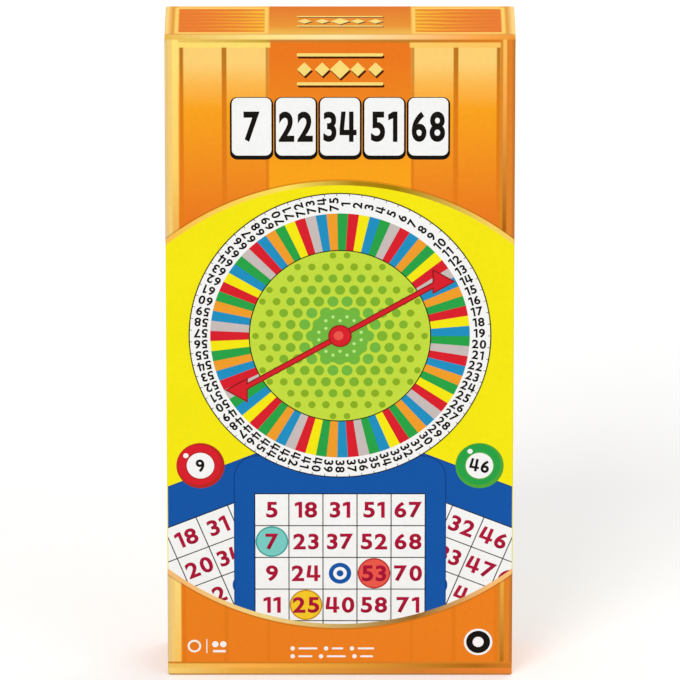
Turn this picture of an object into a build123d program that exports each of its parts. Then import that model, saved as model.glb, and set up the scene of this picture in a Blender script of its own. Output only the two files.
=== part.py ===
# Boxed bingo game: a two-part set-up box that stands on its short end and
# holds a moulded tray, a spinner, number cards, marker chips and a rules leaflet.
#
# Frame: millimetres, +Z up, the printed front of the lid faces -Y, +X is to the
# right of somebody who looks at that front. The origin is the middle of the
# underside of the standing box.

import os
from math import cos, radians, sin, tan

from build123d import *

# Box
board_thickness = 1.5
paper_thickness = 0.2
edge_radius = 0.8
corner_excess = 0.1
turn_in = 15.0
rim_setback = 2.0
lid_side_gap = 0.4
lid_front_gap = 0.5

# Room that loose pieces keep
seat_gap = 0.3
overrun = 2.0

# Tray. Its lands are measured at its foot, and the draft narrows them towards the front
tray_side_gap = 0.4
tray_wall = 0.6
tray_corner_radius = 5.0
tray_draft = 2.0
tray_floor_radius = 2.0
tray_foot_room = 3.68
side_land = 2.8
land_below_cards = 5.5
land_between = 4.0
land_above_spinner = 3.1

# Cards
card_width = 112.0
card_height = 123.0
card_thickness = 1.5
card_corner_radius = 10.0
card_count = 16
card_well_room = 1.0
card_headroom = 1.2
scoop_width = 26.0
scoop_reach = 4.6
scoop_depth = 17.0
scoop_radius = 5.0

# Rules leaflet
leaflet_margin = 4.0
leaflet_paper = 0.14
leaflet_layer_gap = 0.12
leaflet_layers = 4

# Marker chips
chip_radius = 9.5
chip_thickness = 1.3
chip_edge = 0.25
chips_in_stack = 40
channel_side_room = 0.4
channel_spare_length = 40.0
channel_side_land = 14.0

# Spinner board
spinner_size = 122.0
spinner_board = 1.6
spinner_sheet = 0.2
spinner_corner_radius = 4.0
spinner_room = 0.6
spinner_proud = 0.6
spinner_hole_room = 0.6

# Pivot of the arrow
shank_radius = 1.8
bearing_clearance = 0.06
washer_radius = 4.6
washer_thickness = 0.8
stud_head_radius = 3.8
stud_head_height = 1.3
stud_dome_share = 0.8
stud_lid_room = 0.44
retainer_radius = 7.0
retainer_thickness = 0.9
retainer_hub_radius = 3.2
retainer_hub_height = 0.7
axial_gap = 0.08

# Arrow
arrow_thickness = 1.2
arrow_head_margin = 6.5
arrow_tail_margin = 10.0
arrow_shaft_width = 2.8
arrow_head_length = 11.0
arrow_head_width = 8.4
arrow_tail_length = 7.5
arrow_tail_width = 6.0
arrow_barb_share = 0.18
arrow_hub_radius = 5.6
arrow_hub_sides = 6
arrow_rib_width = 1.0
arrow_rib_height = 0.5
arrow_edge = 0.25
arrow_rest_angle = 138.0

# Wall and corner of the wrapped board
wall_build = paper_thickness + board_thickness
corner_radius = edge_radius + corner_excess

# Depths of what lies in the tray, counted from the tray's front
leaflet_pitch = leaflet_paper + leaflet_layer_gap
leaflet_thickness = leaflet_layers * leaflet_paper + (leaflet_layers - 1) * leaflet_layer_gap
card_pack = card_count * card_thickness
card_well_depth = card_headroom + card_pack + seat_gap + leaflet_thickness + seat_gap
spinner_thickness = spinner_board + 2 * spinner_sheet
recess_depth = spinner_thickness - spinner_proud
pivot_behind_board = retainer_thickness + retainer_hub_height
channel_depth = recess_depth - seat_gap + pivot_behind_board + seat_gap + 2 * chip_radius + channel_side_room
deepest_well = max(card_well_depth, channel_depth)

# Depth of the box, from the lid's front to the base's back
arrow_height = arrow_thickness + arrow_rib_height
pivot_before_board = washer_thickness + axial_gap + arrow_height + axial_gap + stud_head_height
tray_front_depth = wall_build + stud_lid_room + pivot_before_board + seat_gap + spinner_proud
box_depth = tray_front_depth + deepest_well + tray_wall + tray_foot_room + seat_gap + wall_build

# Places through the depth
lid_front = -box_depth / 2
back = box_depth / 2
lid_panel_inside = lid_front + wall_build
lid_rim = back - rim_setback
base_rim = lid_panel_inside + lid_front_gap
base_floor = back - wall_build
tray_front = lid_front + tray_front_depth
tray_back = base_floor - seat_gap
card_well_floor = tray_front + card_well_depth
recess_floor = tray_front + recess_depth

# Width and height of the box, round the card well and the spinner recess
base_inset = wall_build + paper_thickness + lid_side_gap
tray_inset = base_inset + wall_build + paper_thickness + tray_side_gap
card_well_width = card_width + 2 * card_well_room
card_well_height = card_height + 2 * card_well_room
recess_size = spinner_size + 2 * spinner_room
tray_half_width = max(recess_size / 2, card_well_width / 2 + scoop_reach) + side_land
tray_height = land_below_cards + card_well_height + land_between + recess_size + land_above_spinner
box_width = 2 * (tray_half_width + tray_inset)
box_height = tray_height + 2 * tray_inset
mid_height = box_height / 2

# Card well
card_well_low = tray_inset + land_below_cards
card_well_mid = card_well_low + card_well_height / 2

# Spinner recess
recess_low = card_well_low + card_well_height + land_between
recess_mid = recess_low + recess_size / 2
spinner_low = recess_low + seat_gap
spinner_mid = spinner_low + spinner_size / 2
spinner_back = recess_floor - seat_gap
spinner_front = spinner_back - spinner_thickness

# Arrow and pivot, counted from the spinner board
washer_front = spinner_front - washer_thickness
arrow_back = washer_front - axial_gap
stud_head_back = arrow_back - arrow_height - axial_gap
retainer_back = spinner_back + retainer_thickness
shank_back = retainer_back + retainer_hub_height
arrow_head_reach = spinner_size / 2 - arrow_head_margin
arrow_tail_reach = spinner_size / 2 - arrow_tail_margin

# Chip channels, whose chips lie just behind the pivot
channel_radius = chip_radius + channel_side_room
channel_axis = shank_back + seat_gap + chip_radius
channel_length = chips_in_stack * chip_thickness + channel_spare_length
channel_low = recess_mid - channel_length / 2
channel_spacing = recess_size / 2 - channel_side_land - channel_radius
channel_centres = (-channel_spacing, 0.0, channel_spacing)
chip_names = ("chips_red", "chips_yellow", "chips_teal")


def facing_front(y):
    """The sketch plane at depth y: its x is X, its y is Z, and it looks to the front."""
    return Plane.XZ.offset(-y)


def about_pivot(y, turn=0.0):
    """The sketch plane at depth y with its origin on the arrow's pivot, turned by an angle in degrees."""
    across = (cos(radians(turn)), 0, sin(radians(turn)))
    return Plane(origin=(0, y, spinner_mid), x_dir=across, z_dir=(0, -1, 0))


def finish(piece, name):
    """Labels a finished piece and writes it to its own file."""
    piece.part.label = name
    export_step(piece.part, f"parts/{name}.step")


def add_slab(width, height, z_middle, front, rear, mode=Mode.ADD):
    """Adds or cuts a rectangular slab between two depths."""
    with BuildSketch(facing_front(rear)) as outline:
        with Locations((0, z_middle)):
            Rectangle(width, height)
    extrude(outline.sketch, amount=rear - front, mode=mode)


def add_sleeve(outer_inset, inner_inset, front, rear):
    """Adds a rectangular ring, given by how far its two outlines lie inside the box's own outline."""
    with BuildSketch(facing_front(rear)) as ring:
        with Locations((0, mid_height)):
            Rectangle(box_width - 2 * outer_inset, box_height - 2 * outer_inset)
            Rectangle(box_width - 2 * inner_inset, box_height - 2 * inner_inset, mode=Mode.SUBTRACT)
    extrude(ring.sketch, amount=rear - front)


def rounded_block(inset, front, rear, closed_front, corner, edge):
    """A block with rounded corners, and a rounded edge all round its closed face."""
    with BuildPart() as block:
        with BuildSketch(facing_front(rear)) as outline:
            with Locations((0, mid_height)):
                RectangleRounded(box_width - 2 * inset, box_height - 2 * inset, corner)
        extrude(amount=rear - front)
        faces = block.faces().sort_by(Axis.Y)
        closed_face = faces[0] if closed_front else faces[-1]
        fillet(closed_face.edges(), radius=edge)
    return block.part


def box_half(inset, front, rear, closed_front):
    """The chipboard and the paper wrap of one half of the box, as two parts.

    inset is how far the wrapped outside lies inside the box's outline. The wrap covers
    the outside, goes round the rim and turns in along the walls.
    """
    open_y = rear if closed_front else front
    closed_y = front if closed_front else rear
    inwards = 1 if closed_front else -1
    board_open = open_y - inwards * paper_thickness
    board_closed = closed_y + inwards * paper_thickness
    panel_inside = board_closed + inwards * board_thickness
    turn_in_end = open_y - inwards * turn_in
    board_span = sorted((board_open, board_closed))
    lining_inset = inset + wall_build

    outside = rounded_block(inset, front, rear, closed_front, corner_radius, edge_radius)
    board_block = rounded_block(
        inset + paper_thickness,
        board_span[0],
        board_span[1],
        closed_front,
        corner_radius - paper_thickness,
        edge_radius - paper_thickness,
    )
    clear_width = box_width - 2 * lining_inset
    clear_height = box_height - 2 * lining_inset
    hollow = sorted((panel_inside, open_y + inwards * overrun))

    with BuildPart() as board:
        add(board_block)
        add_slab(clear_width, clear_height, mid_height, hollow[0], hollow[1], mode=Mode.SUBTRACT)

    with BuildPart() as wrap:
        add(outside)
        add(board_block, mode=Mode.SUBTRACT)
        add_slab(clear_width, clear_height, mid_height, hollow[0], hollow[1], mode=Mode.SUBTRACT)
        lining = sorted((turn_in_end, open_y))
        add_sleeve(lining_inset, lining_inset + paper_thickness, lining[0], lining[1])
    return board, wrap


def well(width, height, z_middle, mouth, floor, corner, floor_radius):
    """The space of a well in the tray: it narrows by the draft, and its floor edge is rounded."""
    narrowing = 2 * (floor - mouth) * tan(radians(tray_draft))
    with BuildPart() as space:
        with BuildSketch(facing_front(floor)) as bottom:
            with Locations((0, z_middle)):
                RectangleRounded(width, height, corner)
        with BuildSketch(facing_front(mouth)) as top:
            with Locations((0, z_middle)):
                RectangleRounded(width + narrowing, height + narrowing, corner)
        loft()
        floor_face = space.faces().sort_by(Axis.Y)[-1]
        fillet(floor_face.edges(), radius=floor_radius)
    return space.part


def scoop(side, grow, mouth):
    """The space of a finger scoop beside the card well, widened by grow to the tray's outside."""
    reach = scoop_reach + grow
    with BuildPart() as space:
        with BuildSketch(facing_front(tray_front + scoop_depth + grow)) as outline:
            inner = card_width / 2 - 2 * scoop_radius
            outer = card_well_width / 2 + reach
            with Locations((side * (inner + outer) / 2, card_well_mid)):
                RectangleRounded(outer - inner, scoop_width + 2 * grow, scoop_radius)
        extrude(amount=tray_front + scoop_depth + grow - mouth)
        floor_face = space.faces().sort_by(Axis.Y)[-1]
        fillet(floor_face.edges(), radius=tray_floor_radius + grow)
    return space.part


def channel(centre, grow, mouth):
    """The space of one chip channel: straight sides down to the chips' axis, then half round."""
    radius = channel_radius + grow
    section_plane = Plane.XY.offset(channel_low - grow)
    with BuildPart() as space:
        with BuildSketch(section_plane) as section:
            with Locations((centre, channel_axis)):
                Circle(radius)
            with Locations((centre, (mouth + channel_axis) / 2)):
                Rectangle(2 * radius, channel_axis - mouth)
        extrude(amount=channel_length + 2 * grow)
    return space.part


# Lid and base of the box
os.makedirs("parts", exist_ok=True)

lid_board, lid_wrap = box_half(0.0, lid_front, lid_rim, closed_front=True)
finish(lid_board, "lid_board")
finish(lid_wrap, "lid_wrap")

base_board, base_wrap = box_half(base_inset, base_rim, back, closed_front=False)
finish(base_board, "base_board")
finish(base_wrap, "base_wrap")

# Moulded tray: a skirted platform, with a well for the cards, a shallow recess
# for the spinner board and three channels for the chips under that recess
skirt_narrowing = 2 * (tray_back - tray_front) * tan(radians(tray_draft))
front_width = 2 * tray_half_width - skirt_narrowing
front_height = tray_height - skirt_narrowing


def tray_block(shrink, front, rear):
    """The outside of the tray, or the hollow behind it, which is smaller by shrink all round."""
    with BuildPart() as block:
        with BuildSketch(facing_front(rear)) as foot:
            with Locations((0, mid_height)):
                RectangleRounded(
                    2 * (tray_half_width - shrink), tray_height - 2 * shrink, tray_corner_radius - shrink
                )
        with BuildSketch(facing_front(front)) as top:
            with Locations((0, mid_height)):
                RectangleRounded(
                    front_width - 2 * shrink, front_height - 2 * shrink, tray_corner_radius - shrink
                )
        loft()
    return block.part


card_well_inside = well(
    card_well_width,
    card_well_height,
    card_well_mid,
    tray_front,
    card_well_floor,
    card_corner_radius,
    tray_floor_radius,
)
card_well_outside = well(
    card_well_width + 2 * tray_wall,
    card_well_height + 2 * tray_wall,
    card_well_mid,
    tray_front,
    card_well_floor + tray_wall,
    card_corner_radius + tray_wall,
    tray_floor_radius + tray_wall,
)
recess_shapes = []
for grow in (0.0, tray_wall):
    recess_side = recess_size + 2 * grow
    recess_corner = spinner_corner_radius + spinner_room + grow
    with BuildPart() as recess_space:
        with BuildSketch(facing_front(recess_floor + grow)) as recess_outline:
            with Locations((0, recess_mid)):
                RectangleRounded(recess_side, recess_side, recess_corner)
        extrude(amount=recess_floor + grow - tray_front)
    recess_shapes.append(recess_space.part)

with BuildPart() as insert_tray:
    add(tray_block(0.0, tray_front, tray_back))
    add(tray_block(tray_wall, tray_front + tray_wall, tray_back), mode=Mode.SUBTRACT)
    add(card_well_outside)
    for side in (-1, 1):
        add(scoop(side, tray_wall, tray_front))
    add(recess_shapes[1])
    for centre in channel_centres:
        add(channel(centre, tray_wall, recess_floor))
    add(card_well_inside, mode=Mode.SUBTRACT)
    for side in (-1, 1):
        add(scoop(side, 0.0, tray_front - overrun), mode=Mode.SUBTRACT)
    add(recess_shapes[0], mode=Mode.SUBTRACT)
    for centre in channel_centres:
        add(channel(centre, 0.0, tray_front - overrun), mode=Mode.SUBTRACT)
finish(insert_tray, "insert_tray")

# Rules leaflet: one sheet folded to and fro, lying behind the cards
leaflet_width = card_width - 2 * leaflet_margin
leaflet_height = card_height - 2 * leaflet_margin
leaflet_rear = card_well_floor - seat_gap
leaflet_low = card_well_low + tray_floor_radius
fold_radius = leaflet_pitch / 2 + leaflet_paper / 2
with BuildPart() as rules_leaflet:
    with BuildSketch(Plane.YZ.offset(-leaflet_width / 2)) as layers:
        for layer in range(leaflet_layers):
            layer_y = leaflet_rear - leaflet_paper / 2 - layer * leaflet_pitch
            with Locations((layer_y, leaflet_low + leaflet_height / 2)):
                Rectangle(leaflet_paper, leaflet_height - 2 * fold_radius)
        for fold in range(leaflet_layers - 1):
            fold_y = leaflet_rear - leaflet_paper / 2 - fold * leaflet_pitch - leaflet_pitch / 2
            at_top = fold % 2 == 0
            fold_z = leaflet_low + (leaflet_height - fold_radius if at_top else fold_radius)
            with BuildLine() as fold_line:
                CenterArc((fold_y, fold_z), fold_radius, 0 if at_top else 180, 180)
                CenterArc((fold_y, fold_z), fold_radius - leaflet_paper, 0 if at_top else 180, 180)
                Line(fold_line.vertices().sort_by(Axis.X)[0], fold_line.vertices().sort_by(Axis.X)[1])
                Line(fold_line.vertices().sort_by(Axis.X)[-1], fold_line.vertices().sort_by(Axis.X)[-2])
            make_face()
    extrude(amount=leaflet_width)
finish(rules_leaflet, "rules_leaflet")

# Number cards, the last one lying on the leaflet and the first one in front
card_low = card_well_low + seat_gap
card_mid = card_low + card_height / 2
deck_back = leaflet_rear - leaflet_thickness - seat_gap
for number in range(1, card_count + 1):
    card_back = deck_back - (card_count - number) * card_thickness
    with BuildPart() as card:
        with BuildSketch(facing_front(card_back)) as card_outline:
            with Locations((0, card_mid)):
                RectangleRounded(card_width, card_height, card_corner_radius)
        extrude(amount=card_thickness)
    finish(card, f"card_{number:02d}")

# Marker chips: one upright stack of loose discs in each channel
for centre, name in zip(channel_centres, chip_names):
    with BuildPart() as chips:
        with BuildSketch(Plane.XY.offset(channel_low + seat_gap)) as disc:
            with Locations((centre, channel_axis)):
                Circle(chip_radius)
        extrude(amount=chip_thickness)
        chamfer(chips.edges().filter_by(GeomType.CIRCLE), length=chip_edge)
    first_chip = chips.part
    stack = [first_chip.moved(Location((0, 0, index * chip_thickness))) for index in range(chips_in_stack)]
    with BuildPart() as chip_stack:
        chip_stack.part = Part(children=stack)
    finish(chip_stack, name)

# Spinner board: a chipboard core with a printed sheet in front and a plain one behind
sheet_spans = {
    "spinner_face_sheet": (spinner_front, spinner_front + spinner_sheet),
    "spinner_board_core": (spinner_front + spinner_sheet, spinner_back - spinner_sheet),
    "spinner_back_sheet": (spinner_back - spinner_sheet, spinner_back),
}
for name, (layer_front, layer_back) in sheet_spans.items():
    with BuildPart() as spinner_layer:
        with BuildSketch(facing_front(layer_back)) as layer_outline:
            with Locations((0, spinner_mid)):
                RectangleRounded(spinner_size, spinner_size, spinner_corner_radius)
                Circle(shank_radius + spinner_hole_room, mode=Mode.SUBTRACT)
        extrude(amount=layer_back - layer_front)
    finish(spinner_layer, name)

# Pivot: washer in front of the board, stud through everything, retainer behind the board
with BuildPart() as pivot_washer:
    with BuildSketch(about_pivot(spinner_front)) as washer_outline:
        Circle(washer_radius)
        Circle(shank_radius + bearing_clearance, mode=Mode.SUBTRACT)
    extrude(amount=washer_thickness)
    chamfer(pivot_washer.faces().sort_by(Axis.Y)[0].edges().sort_by(SortBy.LENGTH)[-1], length=arrow_edge)
finish(pivot_washer, "pivot_washer")

with BuildPart() as pivot_stud:
    with BuildSketch(about_pivot(stud_head_back)) as head_outline:
        Circle(stud_head_radius)
    extrude(amount=stud_head_height)
    fillet(pivot_stud.faces().sort_by(Axis.Y)[0].edges(), radius=stud_head_height * stud_dome_share)
    with BuildSketch(about_pivot(shank_back)) as shank_outline:
        Circle(shank_radius)
    extrude(amount=shank_back - stud_head_back)
    chamfer(pivot_stud.faces().sort_by(Axis.Y)[-1].edges(), length=arrow_edge)
finish(pivot_stud, "pivot_stud")

with BuildPart() as pivot_retainer:
    with BuildSketch(about_pivot(retainer_back)) as disc_outline:
        Circle(retainer_radius)
    extrude(amount=retainer_thickness)
    with BuildSketch(about_pivot(shank_back)) as hub_outline:
        Circle(retainer_hub_radius)
    extrude(amount=retainer_hub_height)
    with BuildSketch(about_pivot(shank_back)) as bore_outline:
        Circle(shank_radius)
    extrude(amount=shank_back - spinner_back, mode=Mode.SUBTRACT)
finish(pivot_retainer, "pivot_retainer")

# Arrow: drawn along its own x, the point towards +x and the tail towards -x
shaft_half = arrow_shaft_width / 2
head_start = arrow_head_reach - arrow_head_length
tail_start = -(arrow_tail_reach - arrow_tail_length)
head_barb = head_start - arrow_barb_share * arrow_head_length
tail_barb = tail_start + arrow_barb_share * arrow_tail_length
with BuildPart() as spinner_arrow:
    with BuildSketch(about_pivot(arrow_back, arrow_rest_angle)) as arrow_outline:
        with BuildLine() as outline:
            Polyline(
                (tail_start, shaft_half),
                (head_start, shaft_half),
                (head_barb, arrow_head_width / 2),
                (arrow_head_reach, 0),
                (head_barb, -arrow_head_width / 2),
                (head_start, -shaft_half),
                (tail_start, -shaft_half),
                (tail_barb, -arrow_tail_width / 2),
                (-arrow_tail_reach, 0),
                (tail_barb, arrow_tail_width / 2),
                close=True,
            )
        make_face()
        RegularPolygon(arrow_hub_radius, arrow_hub_sides)
    extrude(amount=arrow_thickness)
    with BuildSketch(about_pivot(arrow_back, arrow_rest_angle)) as rib_outline:
        with Locations(((arrow_head_reach - arrow_tail_reach) / 2 - arrow_head_length / 2, 0)):
            SlotOverall(arrow_head_reach + arrow_tail_reach - 2 * arrow_head_length, arrow_rib_width)
        Circle(arrow_hub_radius - arrow_rib_width)
    extrude(amount=arrow_height)
    with BuildSketch(about_pivot(arrow_back, arrow_rest_angle)) as arrow_bore:
        Circle(shank_radius + bearing_clearance)
    extrude(amount=arrow_height, mode=Mode.SUBTRACT)
finish(spinner_arrow, "spinner_arrow")
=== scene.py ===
"""Looks of a boxed bingo game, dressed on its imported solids.

Sizes are millimetres and turns are degrees, unless a name says otherwise. A printed shape is drawn flat, with
x to the right, y up and z out of the face that carries it, then given the thickness of its ink and laid on
that face. Its level is how many layers of ink lie under it.
"""

from __future__ import annotations

import logging
import math
import random
from collections.abc import Iterable, Sequence
from dataclasses import dataclass, field
from enum import Enum

import bpy
from mathutils import Matrix, Vector

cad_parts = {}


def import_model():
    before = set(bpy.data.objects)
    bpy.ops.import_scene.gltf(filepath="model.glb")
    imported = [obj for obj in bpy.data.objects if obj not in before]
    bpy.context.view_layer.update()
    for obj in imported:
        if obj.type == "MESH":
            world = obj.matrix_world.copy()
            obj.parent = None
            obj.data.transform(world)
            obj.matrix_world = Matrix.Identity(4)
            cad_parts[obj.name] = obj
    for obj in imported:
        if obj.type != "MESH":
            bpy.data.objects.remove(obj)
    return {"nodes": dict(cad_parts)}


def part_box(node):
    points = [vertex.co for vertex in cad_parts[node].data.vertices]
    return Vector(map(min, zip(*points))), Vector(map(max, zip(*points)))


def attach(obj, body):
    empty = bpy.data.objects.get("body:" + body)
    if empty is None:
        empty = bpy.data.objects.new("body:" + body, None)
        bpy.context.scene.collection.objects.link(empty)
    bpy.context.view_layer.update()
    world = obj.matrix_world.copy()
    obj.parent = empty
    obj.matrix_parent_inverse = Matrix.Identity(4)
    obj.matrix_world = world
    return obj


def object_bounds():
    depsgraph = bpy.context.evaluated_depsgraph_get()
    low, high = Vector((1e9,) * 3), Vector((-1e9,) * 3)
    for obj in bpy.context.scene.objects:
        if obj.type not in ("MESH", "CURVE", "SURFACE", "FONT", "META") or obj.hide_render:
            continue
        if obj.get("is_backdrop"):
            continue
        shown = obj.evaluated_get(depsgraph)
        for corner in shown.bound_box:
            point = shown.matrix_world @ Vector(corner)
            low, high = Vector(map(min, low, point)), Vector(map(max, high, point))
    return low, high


LOG = logging.getLogger("bingo_game")
MM = 0.001
INK = 0.012
WHITE_LIGHT = (1.0, 1.0, 1.0, 1.0)

Point = tuple[float, float]
HalfPlane = tuple[Point, Point]
Fade = tuple[tuple[float, str], ...]
Socket = bpy.types.NodeSocket
Value = Socket | float
Paint = Socket | str
Place = dict[str, Socket]
Ring = tuple["Ink", float, int, int]
Shape = bpy.types.Object
Shapes = list[Shape]


def srgb(text: str) -> tuple[float, ...]:
    """Turns a colour written as on a print proof into scene-linear values.

    Args:
        text: Six hexadecimal digits.

    Returns:
        Red, green and blue from 0 to 1, and full cover.
    """
    values = [int(text[i : i + 2], 16) / 255 for i in (0, 2, 4)]
    return (*(v / 12.92 if v <= 0.04045 else ((v + 0.055) / 1.055) ** 2.4 for v in values), 1.0)


class Ink(Enum):
    """The solid colours of the print."""

    YELLOW = "FAEC14"
    GOLD = "FDCB6A"
    ORANGE = "F4A02C"
    FOOT = "EE7E20"
    BLUE = "1657A8"
    SKY = "2292C4"
    RED = "DC222E"
    FIGURE_RED = "B3163A"
    GREEN = "2AA548"
    LIME = "C6E042"
    OLIVE = "8DB226"
    FERN = "82B630"
    LEAF = "74BA42"
    MINT = "BCEF86"
    MOSS = "4FA83A"
    GREY = "CBBFBC"
    TEAL = "7CCFC6"
    CORAL = "EE5A4C"
    BRICK = "B92A22"
    MAROON = "8E1C1A"
    AMBER = "F9CB2A"
    OCHRE = "C98F14"
    STRAW = "FFE07C"
    UMBER = "4A220C"
    LAGOON = "3E9C96"
    NAVY = "0F3F80"
    BLACK = "17130F"
    WHITE = "FAFAF8"


class Side(Enum):
    """The face of a piece that a print lies on, as the tilt and the spin that bring a flat drawing there."""

    FRONT = (90.0, 0.0)
    RIGHT = (90.0, 90.0)
    BACK = (90.0, 180.0)
    LEFT = (90.0, -90.0)
    TOP = (0.0, 0.0)

    def turn(self) -> Matrix:
        """Returns the turn from the drawing's own axes to this face."""
        tilt, spin = self.value
        return Matrix.Rotation(math.radians(spin), 4, "Z") @ Matrix.Rotation(math.radians(tilt), 4, "X")


class Nodes:
    """Builds one node tree with short calls."""

    def __init__(self, name: str, world: bool = False) -> None:
        """Starts a material, or a world, of this name with an empty tree."""
        self.owner = (bpy.data.worlds if world else bpy.data.materials).new(name)
        self.owner.use_nodes = True
        self.tree = self.owner.node_tree
        self.tree.nodes.clear()

    def add(self, kind: str, sockets: dict | None = None, **settings: object) -> bpy.types.Node:
        """Adds a node.

        Args:
            kind: The node's type, without the ShaderNode prefix.
            sockets: Values or sockets for its inputs, by name or number.
            settings: The node's own properties.

        Returns:
            The new node.
        """
        node = self.tree.nodes.new(f"ShaderNode{kind}")
        for key, value in settings.items():
            setattr(node, key, value)
        for key, value in (sockets or {}).items():
            if isinstance(value, bpy.types.NodeSocket):
                self.tree.links.new(value, node.inputs[key])
            else:
                node.inputs[key].default_value = value
        return node

    def place(self) -> Place:
        """Returns the piece's own x, y and z in millimetres, all three together, and how far x is aside."""
        where = self.add("TexCoord").outputs["Object"]
        scaled = self.add("VectorMath", {0: where, 1: (1 / MM, 1 / MM, 1 / MM)}, operation="MULTIPLY")
        x, y, z = self.add("SeparateXYZ", {0: scaled.outputs[0]}).outputs
        return {"x": x, "y": y, "z": z, "all": scaled.outputs[0], "aside": self.maths("ABSOLUTE", x)}

    def maths(self, operation: str, *values: Value) -> Socket:
        """Returns the result of one sum on values or sockets."""
        return self.add("Math", dict(enumerate(values)), operation=operation).outputs[0]

    def product(self, first: Socket, *others: Value) -> Socket:
        """Returns the product of some masks or values."""
        for other in others:
            first = self.maths("MULTIPLY", first, other)
        return first

    def invert(self, mask: Socket) -> Socket:
        """Returns a mask that is 1 where the given one is 0."""
        return self.maths("SUBTRACT", 1.0, mask)

    def step(self, value: Socket, at: float, soft: float) -> Socket:
        """Returns a mask that rises from 0 to 1 where value passes a place, over a soft edge."""
        sockets = {"Value": value, "From Min": at - soft, "From Max": at + soft}
        return self.add("MapRange", sockets, interpolation_type="SMOOTHSTEP").outputs["Result"]

    def band(self, value: Socket, low: float, high: float, soft: float) -> Socket:
        """Returns a mask that is 1 between two places."""
        return self.maths("SUBTRACT", self.step(value, low, soft), self.step(value, high, soft))

    def ramp(self, value: Socket, stops: Fade) -> Socket:
        """Returns a colour that changes with a value.

        Args:
            value: What the colour follows.
            stops: Pairs of a value and the colour there, in rising order.

        Returns:
            The colour socket.
        """
        low, high = stops[0][0], stops[-1][0]
        share = self.add("MapRange", {"Value": value, "From Min": low, "From Max": high}).outputs["Result"]
        node = self.add("ValToRGB", {0: share})
        marks = node.color_ramp.elements
        while len(marks) < len(stops):
            marks.new(0.5)
        for mark, (at, colour) in zip(marks, stops):
            mark.position = (at - low) / (high - low)
            mark.color = srgb(colour)
        return node.outputs["Color"]

    def mix(self, mask: Value, under: Paint, over: Paint, blend: str = "MIX") -> Socket:
        """Returns one colour laid over another through a mask."""
        under, over = (srgb(colour) if isinstance(colour, str) else colour for colour in (under, over))
        return self.add("Mix", {0: mask, 6: under, 7: over}, data_type="RGBA", blend_type=blend).outputs[2]

    def speckle(self, where: Socket, scale: float, detail: float = 3.0) -> Socket:
        """Returns fine noise over the surface."""
        return self.add("TexNoise", {"Vector": where, "Scale": scale, "Detail": detail}).outputs["Fac"]

    def drift(self, noise: Socket, colour: str, depth: float) -> Socket:
        """Returns a colour that drifts with a noise to one that is darker by a share."""
        darker = self.add("HueSaturation", {"Value": 1 - depth, "Color": srgb(colour)}).outputs[0]
        return self.mix(noise, darker, colour)

    def bump(self, height: Socket, strength: float, depth: float) -> Socket:
        """Returns a surface direction from a height, whose depth is in millimetres."""
        return self.add("Bump", {"Height": height, "Strength": strength, "Distance": depth * MM}).outputs[0]

    def surface(self, **sockets: object) -> bpy.types.Material:
        """Ends the tree with one surface shader.

        Args:
            sockets: Its inputs, with underscores for the spaces in their names.

        Returns:
            The finished material.
        """
        shader = self.add("BsdfPrincipled", {key.replace("_", " "): value for key, value in sockets.items()})
        self.add("OutputMaterial", {0: shader.outputs[0]})
        return self.owner


@dataclass(frozen=True)
class Varnish:
    """Printed paper under a thin varnish."""

    roughness: float = 0.42
    specular: float = 0.02
    coat: float = 0.02
    coat_roughness: float = 0.2
    fibre_scale: float = 1.6
    fibre_strength: float = 0.25
    fibre_depth: float = 0.012
    cloud_scale: float = 0.45
    cloud_detail: float = 5.0
    mottle: float = 0.09

    def finish(self, nodes: Nodes, colour: Socket, where: Socket) -> bpy.types.Material:
        """Varnishes a colour.

        Args:
            nodes: The tree that holds the colour.
            colour: The printed colour.
            where: The place on the surface.

        Returns:
            The finished material.
        """
        cloud = nodes.speckle(where, self.cloud_scale, self.cloud_detail)
        shade = nodes.maths("MULTIPLY_ADD", cloud, self.mottle, 1 - self.mottle / 2)
        tint = nodes.add("CombineColor", {0: shade, 1: shade, 2: shade}).outputs[0]
        fibre = nodes.speckle(where, self.fibre_scale)
        return nodes.surface(
            Base_Color=nodes.mix(1.0, colour, tint, "MULTIPLY"),
            Roughness=self.roughness,
            Specular_IOR_Level=self.specular,
            Coat_Weight=self.coat,
            Coat_Roughness=self.coat_roughness,
            Normal=nodes.bump(fibre, self.fibre_strength, self.fibre_depth),
        )


class InkShelf:
    """Makes each printed colour once."""

    def __init__(self) -> None:
        """Starts with no colour made."""
        self.made: dict[Ink, bpy.types.Material] = {}

    def get(self, ink: Ink) -> bpy.types.Material:
        """Finds the material of a printed colour, and makes it the first time.

        Args:
            ink: The colour.

        Returns:
            The material.
        """
        if ink not in self.made:
            nodes = Nodes(f"ink_{ink.name.lower()}")
            where = nodes.place()["all"]
            colour = nodes.drift(nodes.speckle(where, 0.05, 1.0), ink.value, 0.06)
            self.made[ink] = Varnish().finish(nodes, colour, where)
        return self.made[ink]


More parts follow.
